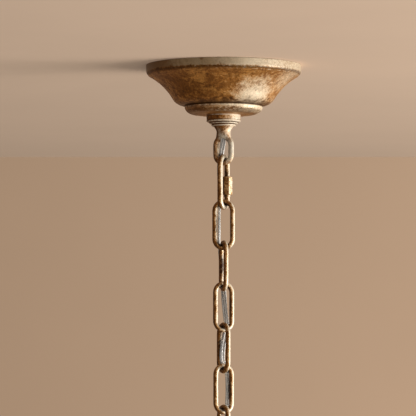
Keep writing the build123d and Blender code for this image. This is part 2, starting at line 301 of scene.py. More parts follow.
def waxed_wire(name, pale, lit_side_lean=0.32):
    """Brown gilt wire: dark wax in broken streaks, pale where hands rub it. Leaf and pale rub lean to the side facing
    the key light and the wax to the far side, and the insides of the bends where links touch are darkened: painted
    light and shade.
    """
    c, n, spot = begun(name)
    wear_and_shade = n.make("ShaderNodeAttribute", {"attribute_name": "wear_and_shade"}, output="Fac")
    blotch = n.noise(spot, 130.0, 4.0, 0.6, 0.6)
    mottle = n.noise(spot, 460.0, 5.0, 0.62, 0.5)
    streaks = n.noise(n.make("ShaderNodeMapping", None, {"Vector": spot, "Scale": (1.0, 1.0, 0.3)}), 620.0, 4.0, 0.6)
    specks = n.noise(spot, 1500.0, 3.0, 0.6)
    # Painted light and shade: side grows where the wire faces the key light, and it weighs the leaf, the pale rub and
    # the soot below.
    side = lit_side_paint(n, lit_side_lean)
    leaf = (blotch * 0.35 + mottle * 0.35 + streaks * 0.3 + side * 0.5).step(0.47 - pale, 0.62 - pale)
    shade = n.mixed(leaf, rgba(c.chain), rgba(c.leaf))
    rub_and_highlight = (streaks * 0.4 + mottle * 0.3 + blotch * 0.3 + side).step(0.60 - pale, 0.70 - pale)
    shade = n.mixed(rub_and_highlight * 0.9, shade, rgba(c.white))
    # Dark wax in random streaks, more on the side away from the key light as painted shade.
    soot_and_shade = (mottle * 0.45 + streaks * 0.35 + specks * 0.2 + side * 0.3).step(0.46, 0.36) * (0.75 - rub_and_highlight * 0.4)
    # Painted shade inside the bends, from the low mark that wire() gives where the next link sits.
    dirt_and_shade = soot_and_shade.larger((wear_and_shade + (mottle - 0.5) * 0.6).step(0.44, 0.16))
    shade = n.mixed(dirt_and_shade, shade, rgba(c.umber))
    bump = n.make("ShaderNodeBump", None, {
        "Strength": 0.45, "Distance": 0.0002, "Height": mottle * 0.5 + streaks * 0.25 + specks * 0.25 - dirt_and_shade * 0.2})
    return n.surface({
        "Base Color": shade, "Metallic": 0.8 - rub_and_highlight * 0.6 - dirt_and_shade * 0.3, "Roughness": 0.4 + dirt_and_shade * 0.15,
        "Coat Weight": 0.08 + rub_and_highlight * 0.12, "Coat Roughness": 0.3, "Specular IOR Level": 0.25, "Normal": bump})


def zinc_plate(name):
    """Zinc-plated steel, drawn lengthwise, with a faint bloom."""
    c, n, spot = begun(name)
    grain = n.noise(n.make("ShaderNodeMapping", None, {"Vector": spot, "Scale": (0.12, 1.0, 1.0)}), 2600.0, 3.0)
    bloom = n.noise(spot, 160.0, 5.0, 0.6)
    shade = n.mixed(bloom.step(0.40, 0.70), rgba([v * 0.72 for v in c.zinc]), rgba(c.zinc))
    shade = n.mixed(grain.step(0.55, 0.75) * 0.2, shade, (0.9, 0.88, 0.74, 1.0))
    bump = n.make("ShaderNodeBump", None, {"Strength": 0.2, "Distance": 0.00006, "Height": grain})
    return n.surface({"Base Color": shade, "Metallic": 0.9, "Roughness": 0.36 + bloom * 0.15, "Normal": bump})


def green_lacquer(name):
    """Green lacquer, chipped to the zinc in specks."""
    c, n, spot = begun(name)
    chips = n.noise(spot, 900.0, 4.0, 0.6)
    worn = chips.step(0.62, 0.66)
    shade = n.mixed(worn, rgba(c.earth), rgba(c.zinc))
    bump = n.make("ShaderNodeBump", None, {"Strength": 0.25, "Distance": 0.0001, "Height": chips - worn * 0.5})
    return n.surface({"Base Color": shade, "Metallic": worn * 0.8, "Roughness": 0.34 + chips * 0.1, "Normal": bump})


def cap_plastic(name):
    """Moulded plastic with a fine grain."""
    c, n, spot = begun(name)
    fine = n.noise(spot, 2400.0, 3.0)
    broad = n.noise(spot, 220.0, 3.0)
    shade = n.mixed(broad.step(0.35, 0.70) * 0.5, rgba(c.cap), rgba([v * 0.7 for v in c.cap]))
    bump = n.make("ShaderNodeBump", None, {"Strength": 0.2, "Distance": 0.00008, "Height": fine})
    return n.surface({"Base Color": shade, "Roughness": 0.48 + fine * 0.15, "Normal": bump})


def clear_sleeve(name):
    """Clear plastic, milky in the web and bright at the edges, that shows its wires where the map says clear."""
    c, n, spot = begun(name)
    clear = n.make("ShaderNodeAttribute", {"attribute_name": "clear"}, output="Fac")
    haze = n.noise(spot, 180.0, 3.0)
    fine = n.noise(spot, 1500.0, 3.0)
    shade = n.mixed(haze.step(0.35, 0.7) * 0.35, rgba(c.sleeve), rgba([v * 0.72 for v in c.sleeve]))
    bump = n.make("ShaderNodeBump", None, {"Strength": 0.12, "Distance": 0.0001, "Height": fine})
    return n.surface({"Base Color": shade, "Roughness": 0.16 + haze * 0.1, "IOR": 1.45, "Subsurface Weight": 0.6,
                      "Subsurface Radius": (1.0, 1.0, 1.0), "Subsurface Scale": 0.003,
                      "Alpha": 0.93 - clear * 0.65 + haze * 0.06, "Normal": bump})


def stranded_core(name):
    """Fine tinned strands laid in a slow twist, by the map's way round and along."""
    c = finishes()
    n = Nodes(name)
    around, along, _ = n.parts(n.make("ShaderNodeUVMap", {"uv_map": "lay"}))
    strands = ((around * 9.0 + along * 0.55) * (2 * math.pi)).sine()
    shade = n.mixed(strands.step(-0.9, 0.9), rgba([v * 0.35 for v in c.core]), rgba(c.core))
    bump = n.make("ShaderNodeBump", None, {"Strength": 0.7, "Distance": 0.0001, "Height": strands})
    return n.surface({"Base Color": shade, "Metallic": 0.85, "Roughness": 0.34, "Normal": bump})


# Shapes, in millimetres


def skin(rings, joined=False, capped=True):
    """Points and faces over a row of rings of equal count, joined end to start, or capped at both ends."""
    count = len(rings[0])
    points = [point for ring in rings for point in ring]
    faces = []
    for i in range(len(rings) if joined else len(rings) - 1):
        first, second = i * count, (i + 1) % len(rings) * count
        for k in range(count):
            faces.append((first + k, first + (k + 1) % count, second + (k + 1) % count, second + k))
    if not joined and capped:
        faces.append(tuple(range(count - 1, -1, -1)))
        faces.append(tuple(range(len(points) - count, len(points))))
    return points, faces


def bow(start, end, bulge, steps):
    """Outline points after start, up to end, along an arc that stands bulge off its chord, outward if positive."""
    dr, dz = end[0] - start[0], end[1] - start[1]
    span = math.hypot(dr, dz)
    points = []
    for i in range(1, steps + 1):
        t = i / steps
        off = 4 * t * (1 - t) * bulge / span
        points.append((start[0] + dr * t - dz * off, start[1] + dz * t + dr * off))
    return points


def softened(outline, fillet, spacing=0.9):
    """A closed outline of (radius, height) or (radius, height, rounding), rounded and with its long sides divided."""
    count = len(outline)
    rounded = []
    for i, corner in enumerate(outline):
        here = Vector(corner[:2])
        before = Vector(outline[i - 1][:2]) - here
        after = Vector(outline[(i + 1) % count][:2]) - here
        wish = corner[2] if len(corner) > 2 else fillet
        if before.angle(after) > math.radians(166) or wish == 0:
            rounded.append(here)
            continue
        reach = min(wish, before.length * 0.45, after.length * 0.45)
        start, end = here + before.normalized() * reach, here + after.normalized() * reach
        for k in range(5):
            t = k / 4
            rounded.append(start * (1 - t) ** 2 + here * 2 * t * (1 - t) + end * t * t)
    dense = []
    for a, b in zip(rounded, rounded[1:] + rounded[:1]):
        parts = max(1, round((b - a).length / spacing))
        dense += [a.lerp(b, k / parts) for k in range(parts)]
    return dense


def exposure(outline, reach=1.3):
    """How far each point of a closed outline stands out of its neighbourhood: 1 on an edge, 0 in a groove."""
    count = len(outline)
    inside = 1.0 if sum(a.x * b.y - b.x * a.y for a, b in zip(outline, outline[1:] + outline[:1])) > 0 else -1.0
    values = []
    for i, here in enumerate(outline):
        ends = []
        for way in (-1, 1):
            k, run = i, 0.0
            while run < reach and abs(k - i) < count // 3:
                run += (outline[(k + way) % count] - outline[k % count]).length
                k += way
            ends.append(outline[k % count])
        along = ends[1] - ends[0]
        if along.length < 1e-6:
            values.append(0.5)
            continue
        out = Vector((along.y, -along.x)).normalized() * inside
        stand = (here - (ends[0] + ends[1]) / 2).dot(out)
        values.append(min(1.0, max(0.0, 0.5 + stand * 0.9)))
    return values


def turned(outline, segments, uneven=0.0):
    """A closed outline carried round the vertical axis, with a slightly uneven, cast surface."""
    wear_and_shade = exposure(outline)
    rings, marks = [], []
    for k in range(segments):
        angle = 2 * math.pi * k / segments
        ring = []
        for radius, height in outline:
            spot = Vector((radius * math.cos(angle), radius * math.sin(angle), height))
            push = -abs(noise.noise(spot * 0.07)) * uneven if uneven else 0.0
            grown = 1 + push / max(radius, 1.0)
            ring.append((spot.x * grown, spot.y * grown, spot.z))
        rings.append(ring)
        marks += wear_and_shade
    points, faces = skin(rings, joined=True)
    return points, faces, marks


def wire(path, radii, sides, joined, side_axis, hubs=()):
    """Round wire along a path in a plane square to side_axis, marked low inside its bends round the hubs, where the
    next link sits, for painted shade.
    """
    rings, marks = [], []
    count = len(path)
    for i, here in enumerate(path):
        before = path[i - 1] if joined or i else here
        after = path[(i + 1) % count] if joined or i < count - 1 else here
        along = (after - before).normalized()
        up = along.cross(side_axis).normalized()
        radius = radii[i] if isinstance(radii, list) else radii
        hub = min(hubs, key=lambda h: (h - here).length) if hubs else here
        inward = hub - here
        bent = abs(inward.z) / inward.length if inward.length > 0.01 else 0.0
        ring = []
        for k in range(sides):
            angle = 2 * math.pi * k / sides
            off = side_axis * math.cos(angle) + up * math.sin(angle)
            ring.append(here + off * radius)
            # The mark falls on the inside of a bend, for painted shade where the next link sits.
            inside = off.dot(inward.normalized()) if inward.length > 0.01 else 0.0
            marks.append(min(1.0, max(0.0, 0.62 - 0.62 * bent * max(0.0, inside + 0.25))))
        rings.append(ring)
    points, faces = skin(rings, joined)
    return points, faces, marks


def upright(turn):
    """The level direction of a plane that is turned about the vertical, and the direction square to it."""
    angle = math.radians(turn)
    return Vector((math.cos(angle), math.sin(angle), 0)), Vector((-math.sin(angle), math.cos(angle), 0))


def oval(bend, straight, top_centre, turn, steps=20):
    """Centreline of an upright oval, from the foot of its right side, up and round."""
    level, _ = upright(turn)
    path = []
    for lift, first in ((0.0, 0.0), (-straight, math.pi)):
        for k in range(steps + 1):
            angle = first + math.pi * k / steps
            path.append(level * (bend * math.cos(angle)) + Vector((0, 0, top_centre + lift + bend * math.sin(angle))))
        runs = max(2, round(straight / 2.5))
        side = -bend if first == 0.0 else bend
        low, high = (top_centre, top_centre - straight) if first == 0.0 else (top_centre - straight, top_centre)
        for k in range(1, runs):
            path.append(level * side + Vector((0, 0, low + (high - low) * k / runs)))
    return path


def level_ring(radii, height, centre=(0.0, 0.0), turn=0.0):
    """A level ring of points, one for each of the radii."""
    points = []
    for k, radius in enumerate(radii):
        angle = 2 * math.pi * k / len(radii) + math.radians(turn)
        points.append((centre[0] + radius * math.cos(angle), centre[1] + radius * math.sin(angle), height))
    return points


def threaded(radius, depth, pitch, top, bottom, bore, segments):
    """A threaded tube on the vertical axis: one ridge that winds up it, and a plain bore."""
    rows = round((top - bottom) / pitch * 8)
    rings = [level_ring([bore] * segments, bottom)]
    for i in range(rows + 1):
        height = bottom + (top - bottom) * i / rows
        lead_in = min(1.0, (min(top - height, height - bottom) + 0.05) / 0.8)
        ridges = []
        for k in range(segments):
            phase = (height / pitch + k / segments) % 1.0
            ridges.append(radius - depth * max(abs(2 * phase - 1), 1 - lead_in))
        rings.append(level_ring(ridges, height))
    rings.append(level_ring([bore] * segments, top))
    return skin(rings, joined=True)


def chamfered_nut(flats, top, bottom, bore, chamfer, centre=(0.0, 0.0), turn=0.0, hollow=True):
    """A hexagon nut or head whose corners are turned off at both ends, and slightly rounded along its length."""
    segments = 72
    corner = flats / math.sqrt(3) * 0.985
    face = flats / 2 - 0.15
    rows = [(bottom, face - 0.25), (bottom, face)]
    for k in range(1, 5):
        rows.append((bottom + chamfer * k / 4, face + (corner + 0.3 - face) * k / 4))
    for height, reach in reversed(rows[:]):
        rows.append((top + bottom - height, reach))
    rings = []
    for height, reach in rows:
        radii = []
        for k in range(segments):
            off_middle = (2 * math.pi * k / segments) % (math.pi / 3) - math.pi / 6
            radii.append(min(flats / 2 / math.cos(off_middle), corner, reach))
        rings.append(level_ring(radii, height, centre, turn))
    if not hollow:
        return skin(rings)
    rings += [level_ring([bore] * segments, height, centre, turn) for height in (top, bottom)]
    return skin(rings, joined=True)


def join(*parts):
    """Several lots of points and faces as one."""
    points, faces = [], []
    for part in parts:
        start = len(points)
        points += list(part[0])
        faces += [tuple(i + start for i in face) for face in part[1]]
    return points, faces


def piece(name, shape, materials, crease=35.0):
    """A smooth-shaded object from points and faces in millimetres."""
    mesh = bpy.data.meshes.new(name)
    mesh.from_pydata([Vector(p) * MM for p in shape[0]], [], shape[1])
    mesh.update()
    work = bmesh.new()
    work.from_mesh(mesh)
    bmesh.ops.recalc_face_normals(work, faces=work.faces)
    work.to_mesh(mesh)
    work.free()
    mesh.shade_smooth()
    mesh.set_sharp_from_angle(angle=math.radians(crease))
    if len(shape) > 2:
        mark = mesh.attributes.new("wear_and_shade", "FLOAT", "POINT")
        mark.data.foreach_set("value", shape[2])
    obj = bpy.data.objects.new(name, mesh)
    bpy.context.scene.collection.objects.link(obj)
    for material in materials:
        mesh.materials.append(material)
    return obj


def settled(obj):
    """Puts what the modifiers make of an object into its mesh."""
    graph = bpy.context.evaluated_depsgraph_get()
    made = bpy.data.meshes.new_from_object(obj.evaluated_get(graph))
    obj.modifiers.clear()
    obj.data = made
    made.shade_smooth()
    return obj


def cast(name, shape, bore, material, wear_level=0.5):
    """Overlapping shapes run together as one casting, with a round bore cut down its middle."""
    obj = piece(name, shape, [material])
    cutter = piece(name + "_cutter", bore, [])
    grid = obj.modifiers.new("grid", "REMESH")
    grid.mode = "VOXEL"
    grid.voxel_size = 0.32 * MM
    ease = obj.modifiers.new("ease", "SMOOTH")
    ease.factor = 0.5
    ease.iterations = 9
    cut = obj.modifiers.new("cut", "BOOLEAN")
    cut.operation = "DIFFERENCE"
    cut.solver = "EXACT"
    cut.object = cutter
    settled(obj)
    bpy.data.objects.remove(cutter)
    obj.data.materials.clear()
    obj.data.materials.append(material)
    obj.data.set_sharp_from_angle(angle=math.radians(40))
    mark = obj.data.attributes.new("wear_and_shade", "FLOAT", "POINT")
    mark.data.foreach_set("value", [wear_level] * len(obj.data.vertices))
    return obj


def place(obj, body, slot, *nodes):
    """The object rides on its body and stands for its nodes, which it hides; slot is not used."""
    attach(obj, body)
    if nodes:
        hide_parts(*nodes)


# Heights and turns that the pieces share with the solids, in millimetres and degrees
SEAT = -48.2
HUB_TOP = -38.0
RING_BOTTOM = -59.1
HUB_BOTTOM = -59.5
TUBE_TOP = -18.0
TUBE_BOTTOM = -50.0
LOOP_TOP_CENTRE = -77.3
LOOP_BEND = 7.7
LOOP_STRAIGHT = 9.4
LOOP_TURN = -20.0
QUICK_BEND = 7.5
QUICK_HIGH_WIRE = -88.9
QUICK_LOW_WIRE = -137.3
QUICK_TURN = 63.0
GAP_TOP = -114.3
GAP_BOTTOM = -119.7
SLEEVE_TOP = -107.4
SLEEVE_BOTTOM = -124.8
LINK_TURNS = (-8.0, -75.0, 25.0, -61.0, 29.0, -61.0)
FIRST_HIGH_WIRE = -132.12
LINK_PITCH = 39.5
END_BEND = 8.0
END_STRAIGHT = 5.0
END_HIGH_WIRE = -369.0
END_TURN = 29.0
END_WIRE = 5.0
END_HUB_TOP = -395.0
END_BOTTOM = -410.0

# The cord's route: the solids' own points, with the way in which its broad side is turned at each
CORD_ROUTE = (
    (0.0, 0.0, -18.0, 90),
    (0.0, 0.0, -38.0, 90),
    (0.6, -0.5, -55.0, 68),
    (-0.1, -0.3, -68.0, 39),
    (-0.9, 1.2, -77.5, 15),
    (-2.3, 5.5, -86.0, 0),
    (-3.6, 6.9, -94.4, -19),
    (-4.2, 6.2, -105.0, -55),
    (-4.0, 5.3, -116.0, -88),
    (-4.3, 5.2, -127.0, -92),
    (-3.9, 6.1, -137.0, -90),
    (-4.4, 5.4, -148.0, -90),
    (-4.2, 6.7, -159.0, -90),
    (-4.4, 10.4, -169.5, -90),
    (-3.7, 13.3, -180.0, -92),
    (-3.1, 13.8, -190.5, -86),
    (-1.8, 13.4, -201.0, -52),
    (-0.5, 11.9, -211.5, -16),
    (0.2, 8.4, -220.5, 4),
    (0.6, 5.8, -230.0, 28),
    (1.7, 5.8, -241.0, 30),
    (3.3, 7.7, -251.5, 28),
    (1.0, 4.8, -261.0, 25),
    (-0.6, 2.7, -270.0, 18),
    (-1.4, 2.6, -278.5, 18),
    (-1.4, 3.9, -285.5, 32),
    (2.5, 6.6, -292.0, 46),
    (3.5, 6.6, -299.0, 54),
    (3.8, 5.9, -307.5, 63),
    (3.7, 6.0, -318.0, 64),
    (3.3, 7.1, -330.0, 54),
    (3.2, 6.2, -341.0, 42),
    (2.5, 5.7, -352.0, 30),
    (2.7, 5.9, -363.0, 17),
    (2.5, 7.2, -373.0, 0),
    (0.6, 3.1, -382.0, -9),
    (0.0, 0.3, -390.0, 0),
    (0.0, 0.0, -397.0, 0),
)
# Where one length of cord ends and the next begins
CORD_SPLITS = (-110.5, -153.5, -195.75, -235.5, -274.25, -312.75, -346.5)


class MakeCanopy(bpy.types.Operator):
    """Canopy: rim band, hollow flare, crown, groove, bead and dished bottom, open at the ceiling"""

    bl_idname = "suspension.canopy"
    bl_label = "Canopy"

    def execute(self, context):
        s = sizes()
        rim, band, seat = s.rim_radius / MM, s.band_height / MM, -s.canopy_height / MM
        flare_top, flare_foot, crown_foot = (rim - 2.6, -band - 2.0), (rim - 25.3, seat + 16.2), (38.5, seat + 9.1)
        outline = [(rim, 0.0, 0.5), (rim - 0.1, -band + 1.6), (rim - 0.7, -band, 0.7), flare_top]
        outline += bow(flare_top, flare_foot, -2.1, 22)
        outline += bow(flare_foot, crown_foot, 1.7, 14)
        outline += [(37.2, seat + 8.6, 0.4), (37.6, seat + 8.0, 0.5), (37.7, seat + 6.7, 0.8), (36.6, seat + 4.6, 1.0)]
        outline += bow((36.6, seat + 4.6), (29.0, seat + 0.9), 1.1, 8) + bow((29.0, seat + 0.9), (22.0, seat), 0.15, 5)
        outline += [(11.5, seat), (11.5, seat + 2.0), (22.0, seat + 2.0), (33.0, seat + 5.7)]
        outline += [(46.5, seat + 16.2), (rim - 5.0, -7.0), (rim - 2.0, 0.0)]
        shape = turned(softened(outline, 0.4), 180, uneven=0.35)
        # The first patch, on the front right of the flare, also paints the key light's highlight; the others are rubbed
        # spots.
        gilt = rubbed_gilt("canopy_gilt", (((31, -38, -33), 24, 0.85), ((62, -24, -13), 22, 0.6),
                                           ((-46, 34, -24), 30, 0.9), ((44, 38, -20), 22, 0.8),
                                           ((-8, 52, -34), 24, 0.8)), band=True)
        place(piece("canopy_shell", shape, [gilt]), "canopy", "gilt_metal", "canopy")
        return {"FINISHED"}


class MakeSeatingRing(bpy.types.Operator):
    """Seating ring: a drum with a bead at its foot and two smaller tiers below it"""

    bl_idname = "suspension.seating_ring"
    bl_label = "Seating ring"

    def execute(self, context):
        s = sizes()
        radius, bore = s.ring_radius / MM, s.hub_radius / MM + 0.05
        outline = [(bore, SEAT, 0.2), (radius, SEAT, 0.3), (radius, SEAT - 4.5, 0.4), (radius - 0.3, SEAT - 4.9, 0.2),
                   (radius + 0.15, SEAT - 5.5, 0.5), (radius, SEAT - 6.4, 0.5), (15.2, SEAT - 7.0, 0.5),
                   (13.2, SEAT - 7.2, 0.3), (13.9, SEAT - 7.8, 0.4), (13.6, SEAT - 8.5, 0.4), (11.9, SEAT - 8.9, 0.3),
                   (11.4, SEAT - 9.2, 0.2), (11.8, SEAT - 9.6, 0.3), (11.6, SEAT - 10.4, 0.3),
                   (bore + 0.4, RING_BOTTOM, 0.2), (bore, RING_BOTTOM, 0.1)]
        shape = turned(softened(outline, 0.3, 0.4), 120)
        # The large patch on the front right also paints the key light's highlight.
        gilt = rubbed_gilt("ring_gilt", (((15, -9, -54), 16, 0.9), ((-13, 10, -55), 10, 0.5)), pale=0.02, lit_side_lean=0.09)
        place(piece("seating_ring_turned", shape, [gilt]), "seating_ring", "gilt_metal", "seating_ring")
        return {"FINISHED"}


class MakeCollarLoop(bpy.types.Operator):
    """Collar loop: threaded hub, waisted neck and closed loop, bored for the cord"""

    bl_idname = "suspension.collar_loop"
    bl_label = "Collar loop"

    def execute(self, context):
        s = sizes()
        neck, half = s.neck_radius / MM, s.loop_wire / MM / 2
        # The patch over the loop's right leg and the one on the neck's front right also paint the key light's
        # highlight; the rest are rubbed spots.
        gilt = rubbed_gilt("collar_gilt", (((9, -5, -63), 9, 1.0), ((10, -5, -82), 17, 1.0), ((-5, -8, -66), 5, 0.6),
                                            ((0, -7, -71.5), 8, 0.9)),
                           pale=0.04, lit_side_lean=0.16)
        hub = threaded(s.hub_radius / MM, 0.45, 1.5, HUB_TOP, HUB_BOTTOM, 5.05, 72)
        thread = piece("collar_thread", (*hub, [0.55] * len(hub[0])), [gilt], crease=50)
        place(thread, "ceiling_set", "gilt_metal")
        level, aside = upright(LOOP_TURN)
        rings = []
        for k in range(31):
            t = k / 30
            radius = neck + (9.5 - neck) * max(0.0, 1 - t / 0.5) ** 2.2
            foot = max(0.0, (t - 0.4) / 0.6)
            wide, thin = radius + 1.5 * foot ** 1.4, radius - (neck - half * 0.94) * foot ** 1.3
            height = HUB_BOTTOM - 12.2 * t
            rings.append([level * (wide * math.cos(math.pi * i / 36)) + aside * (thin * math.sin(math.pi * i / 36))
                          + Vector((0, 0, height)) for i in range(72)])
        body = skin(rings)
        loop = wire(oval(LOOP_BEND, LOOP_STRAIGHT, LOOP_TOP_CENTRE, LOOP_TURN), half, 24, True, aside)
        bore = turned([Vector((0.01, HUB_BOTTOM + 3)), Vector((0.01, LOOP_TOP_CENTRE)),
                       Vector((3.2, LOOP_TOP_CENTRE)), Vector((3.2, HUB_BOTTOM + 3))], 40)[:2]
        made = cast("collar_neck_and_loop", join(body, loop), bore, gilt)
        place(made, "ceiling_set", "gilt_metal", "collar_loop")
        return {"FINISHED"}


class MakeQuickLink(bpy.types.Operator):
    """Quick link: a bar bent to an oval and open on one side, with threaded ends, and its long sleeve nut"""

    bl_idname = "suspension.quick_link"
    bl_label = "Quick link"

    def execute(self, context):
        s = sizes()
        radius = s.quick_wire / MM / 2
        level, aside = upright(QUICK_TURN)
        top, bottom = QUICK_HIGH_WIRE - QUICK_BEND, QUICK_LOW_WIRE + QUICK_BEND
        path = [level * QUICK_BEND + Vector((0, 0, GAP_TOP + (top - GAP_TOP) * k / 8)) for k in range(8)]
        path += [level * (QUICK_BEND * math.cos(math.pi * k / 24))
                 + Vector((0, 0, top + QUICK_BEND * math.sin(math.pi * k / 24))) for k in range(25)]
        path += [level * -QUICK_BEND + Vector((0, 0, top + (bottom - top) * k / 14)) for k in range(1, 14)]
        path += [level * (QUICK_BEND * math.cos(math.pi + math.pi * k / 24))
                 + Vector((0, 0, bottom + QUICK_BEND * math.sin(math.pi + math.pi * k / 24))) for k in range(25)]
        radii = [radius] * len(path)
        shoulder, shoulder_top, shoulder_bottom = 3.1, SLEEVE_BOTTOM - 0.06, SLEEVE_BOTTOM - 2.05
        thread_depth, thread_pitch, thread_step = 0.28, 0.8, 0.125
        height = bottom
        while height < GAP_BOTTOM - 0.01:
            height = min(height + thread_step, GAP_BOTTOM)
            path.append(level * QUICK_BEND + Vector((0, 0, height)))
            if height > SLEEVE_BOTTOM:
                radii.append(radius - thread_depth * abs(2 * ((height / thread_pitch) % 1.0) - 1))
            else:
                radii.append(shoulder if shoulder_bottom < height < shoulder_top else radius)
        radii[0] = radii[-1] = radius - 0.4
        finish = waxed_wire("quick_link_finish", 0.05)
        # The bends round these hubs are marked for painted shade inside them.
        hubs = (Vector((0, 0, top)), Vector((0, 0, bottom)))
        bar = piece("quick_link_bar", wire(path, radii, 24, False, aside, hubs), [finish], crease=50)
        place(bar, "quick_link", "quick_link_metal", "quick_link")
        centre = (level.x * QUICK_BEND, level.y * QUICK_BEND)
        shape = chamfered_nut(s.sleeve_flats / MM, SLEEVE_TOP, SLEEVE_BOTTOM, radius + 0.05, 0.75, centre,
                              QUICK_TURN - 12)
        # Its lean makes the nut's right face, towards the key light, pale as painted light.
        sleeve = waxed_wire("sleeve_nut_finish", 0.035, 0.18)
        nut = piece("quick_link_sleeve_nut", (*shape, [0.62] * len(shape[0])), [sleeve], crease=22)
        place(nut, "quick_link_nut", "quick_link_metal", "quick_link_nut")
        return {"FINISHED"}


class MakeChain(bpy.types.Operator):
    """Chain: six oval links of round wire, each turned as it hangs"""

    bl_idname = "suspension.chain"
    bl_label = "Chain"

    def execute(self, context):
        s = sizes()
        half = s.link_wire / MM / 2
        bend = s.link_width / MM / 2 - half
        straight = LINK_PITCH + 2 * half + 0.2 - 2 * bend
        finish = waxed_wire("chain_finish", 0.02)
        for number, turn in enumerate(LINK_TURNS):
            _, aside = upright(turn)
            high = FIRST_HIGH_WIRE - LINK_PITCH * number - bend
            path = oval(bend, straight, high, turn)
            # The bends round these hubs are marked for painted shade inside them.
            hubs = (Vector((0, 0, high)), Vector((0, 0, high - straight)))
            radii = [half - 0.05 * abs(noise.noise(point * 0.12)) for point in path]
            name = "chain_link_" + str(number + 1)
            place(piece(name + "_wire", wire(path, radii, 28, True, aside, hubs), [finish]), name, "chain_metal", name)
        return {"FINISHED"}


class MakeFixtureLoop(bpy.types.Operator):
    """Fixture loop: the loop at the chain's lower end, over a hub with a threaded bore"""

    bl_idname = "suspension.fixture_loop"
    bl_label = "Fixture loop"

    def execute(self, context):
        gilt = rubbed_gilt("fixture_gilt", (((8, -5, -402), 10, 0.9), ((-8, 4, -404), 8, 0.6), ((8, -2, -376), 8, 0.8)))
        low = END_HIGH_WIRE - 2 * END_BEND - END_STRAIGHT
        _, aside = upright(END_TURN)
        loop = wire(oval(END_BEND, END_STRAIGHT, END_HIGH_WIRE - END_BEND, END_TURN), END_WIRE / 2, 24, True, aside)
        outline = [(0.8, low + 2.4), (4.6, low + 2.4), (6.4, low, 0.8), (6.4, low - 2.6, 0.8), (7.0, low - 3.4),
                   (8.9, END_HUB_TOP + 0.2, 0.5), (8.9, END_HUB_TOP - 2.4, 0.4), (8.5, END_HUB_TOP - 2.9, 0.3),
                   (8.9, END_HUB_TOP - 3.4, 0.4), (8.9, END_BOTTOM + 1.0, 0.5), (8.4, END_BOTTOM, 0.4),
                   (0.8, END_BOTTOM)]
        body = turned(softened(outline, 0.3, 0.6), 72)[:2]
        bore = turned([Vector((0.01, low + 5)), Vector((3.2, low + 5)), Vector((3.2, -398.0)), Vector((5.0, -398.0)),
                       Vector((5.0, END_BOTTOM - 2)), Vector((0.01, END_BOTTOM - 2))], 48)[:2]
        made = cast("fixture_loop_cast", join(body, loop), bore, gilt)
        place(made, "fixture_loop", "gilt_metal", "fixture_loop")
        return {"FINISHED"}


class MakeCeilingFixing(bpy.types.Operator):
    """Ceiling fixing inside the canopy: bracket, threaded tube, its two nuts and the earth screw"""

    bl_idname = "suspension.ceiling_fixing"
    bl_label = "Ceiling fixing"

    def execute(self, context):
        zinc = zinc_plate("zinc_plate")
        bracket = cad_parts["ceiling_bracket"]
        for held in bracket.material_slots:
            held.material = zinc
        tube = piece("threaded_tube", threaded(4.98, 0.42, 1.0, TUBE_TOP, TUBE_BOTTOM, 3.6, 48), [zinc], crease=50)
        place(tube, "ceiling_set", "zinc_steel", "threaded_nipple")
        for name, top, bottom in (("upper_lock_nut", -19.0, -22.0), ("lower_lock_nut", -24.5, -27.5)):
            nut = piece(name + "_hexagon", chamfered_nut(14.0, top, bottom, 5.05, 0.6), [zinc], crease=22)
            place(nut, "ceiling_set", "zinc_steel", name)
        green = green_lacquer("green_lacquer")
        head = chamfered_nut(6.96, -19.6, -22.0, 0.0, 0.4, (-18.0, 0.0), hollow=False)
        shank = threaded(1.98, 0.25, 0.7, -22.0, -29.0, 0.05, 32)
        shank = ([(p[0] - 18.0, p[1], p[2]) for p in shank[0]], shank[1])
        screw = piece("earth_screw_threaded", join(head, shank), [green], crease=30)
        place(screw, "ceiling_set", "green_screw", "earth_screw")
        return {"FINISHED"}


def measured_line(name, points):
    """Points along the smooth line through a route, in metres, as Blender reads them from the curve."""
    curve = bpy.data.curves.new(name, "CURVE")
    curve.dimensions = "3D"
    curve.resolution_u = 16
    spline = curve.splines.new("NURBS")
    spline.points.add(len(points) - 1)
    for point, target in zip(spline.points, points):
        point.co = (target[0] * MM, target[1] * MM, target[2] * MM, 1.0)
    spline.order_u = 3
    spline.use_endpoint_u = True
    carrier = bpy.data.objects.new(name, curve)
    bpy.context.scene.collection.objects.link(carrier)
    mesh = bpy.data.meshes.new_from_object(carrier)
    line = [vertex.co.copy() for vertex in mesh.vertices]
    bpy.data.objects.remove(carrier)
    bpy.data.meshes.remove(mesh)
    return line


def broad_side(height):
    """Which way the cord's broad side faces at a height, in radians."""
    for above, below in zip(CORD_ROUTE, CORD_ROUTE[1:]):
        if below[2] * MM <= height:
            t = (above[2] * MM - height) / ((above[2] - below[2]) * MM)
            t = min(1.0, max(0.0, t))
            return math.radians(above[3] + (below[3] - above[3]) * t)
    return math.radians(CORD_ROUTE[-1][3])


def unturned(height):
    """The round leads have no broad side to turn."""
    return 0.0


def twin_section(width, thickness):
    """The twin cord's outline: two round lobes with a web between them."""
    lobe = thickness / 2
    reach = width / 2 - lobe
    web = math.asin(0.66)
    outline = []
    for side in (1, -1):
        start = -math.pi + web if side == 1 else web
        sweep = 2 * (math.pi - web)
        for k in range(21):
            angle = start + sweep * k / 20
            outline.append((side * reach + lobe * math.cos(angle), lobe * math.sin(angle)))
    return outline


def along_line(line, section, facing):
    """Rings of a section along a line. facing(height) says which way the section's x lies."""
    rings = []
    for i, here in enumerate(line):
        along = (line[min(i + 1, len(line) - 1)] - line[max(i - 1, 0)]).normalized()
        angle = facing(here.z)
        broad = Vector((math.cos(angle), math.sin(angle), 0))
        broad = (broad - along * broad.dot(along)).normalized()
        thin = along.cross(broad)
        rings.append([(here / MM) + broad * x + thin * y for x, y in section])
    return rings


